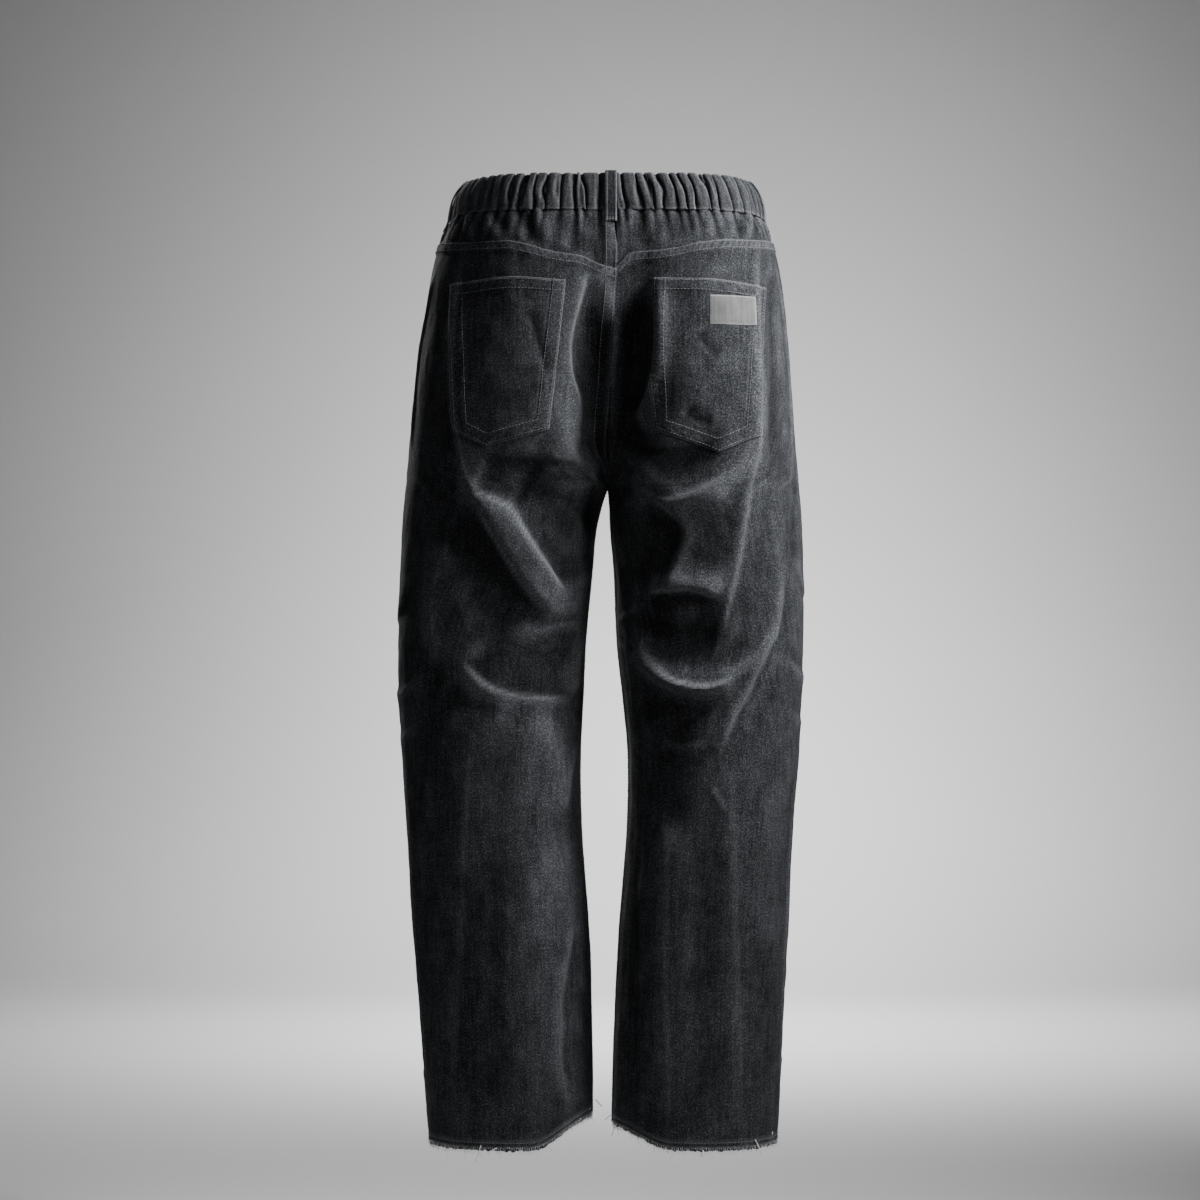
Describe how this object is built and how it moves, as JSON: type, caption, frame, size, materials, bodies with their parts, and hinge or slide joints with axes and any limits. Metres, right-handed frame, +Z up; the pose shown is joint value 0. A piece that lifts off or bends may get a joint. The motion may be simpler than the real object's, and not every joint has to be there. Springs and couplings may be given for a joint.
{
  "type": "elastic waist jeans",
  "caption": "Wide straight jeans of black washed denim with a gathered elastic waistband, belt loops, back yoke, back pockets and raw hems, in their hollow worn form.",
  "frame": {"origin": "centre of the waist opening, half way up the waistband, where the wearer's waist holds the jeans", "axes": "+Z up, along the longest side; +X to the wearer's left; the front of the jeans faces -Y and the back faces +Y"},
  "size_m": [0.4185, 0.2627, 1],
  "materials": {
    "denim": "washed black cotton twill, matt, paler along its seams",
    "patch": "plain grey patch, sewn round its edge",
    "fray": "frayed cotton threads"
  },
  "bodies": {
    "root": {"waistband_back": "denim", "waistband_front": "denim", "back_yoke_left": "denim", "back_yoke_right": "denim", "back_leg_left": "denim", "back_leg_right": "denim", "front_leg_left": "denim", "front_leg_right": "denim", "back_pocket_left": "denim", "back_pocket_right": "denim", "pocket_patch": "patch", "belt_loop_back": "denim", "belt_loop_side_left": "denim", "belt_loop_side_right": "denim", "belt_loop_front_left": "denim", "belt_loop_front_right": "denim", "hem_fray_left": "fray", "hem_fray_right": "fray"}
  },
  "joints": []
}
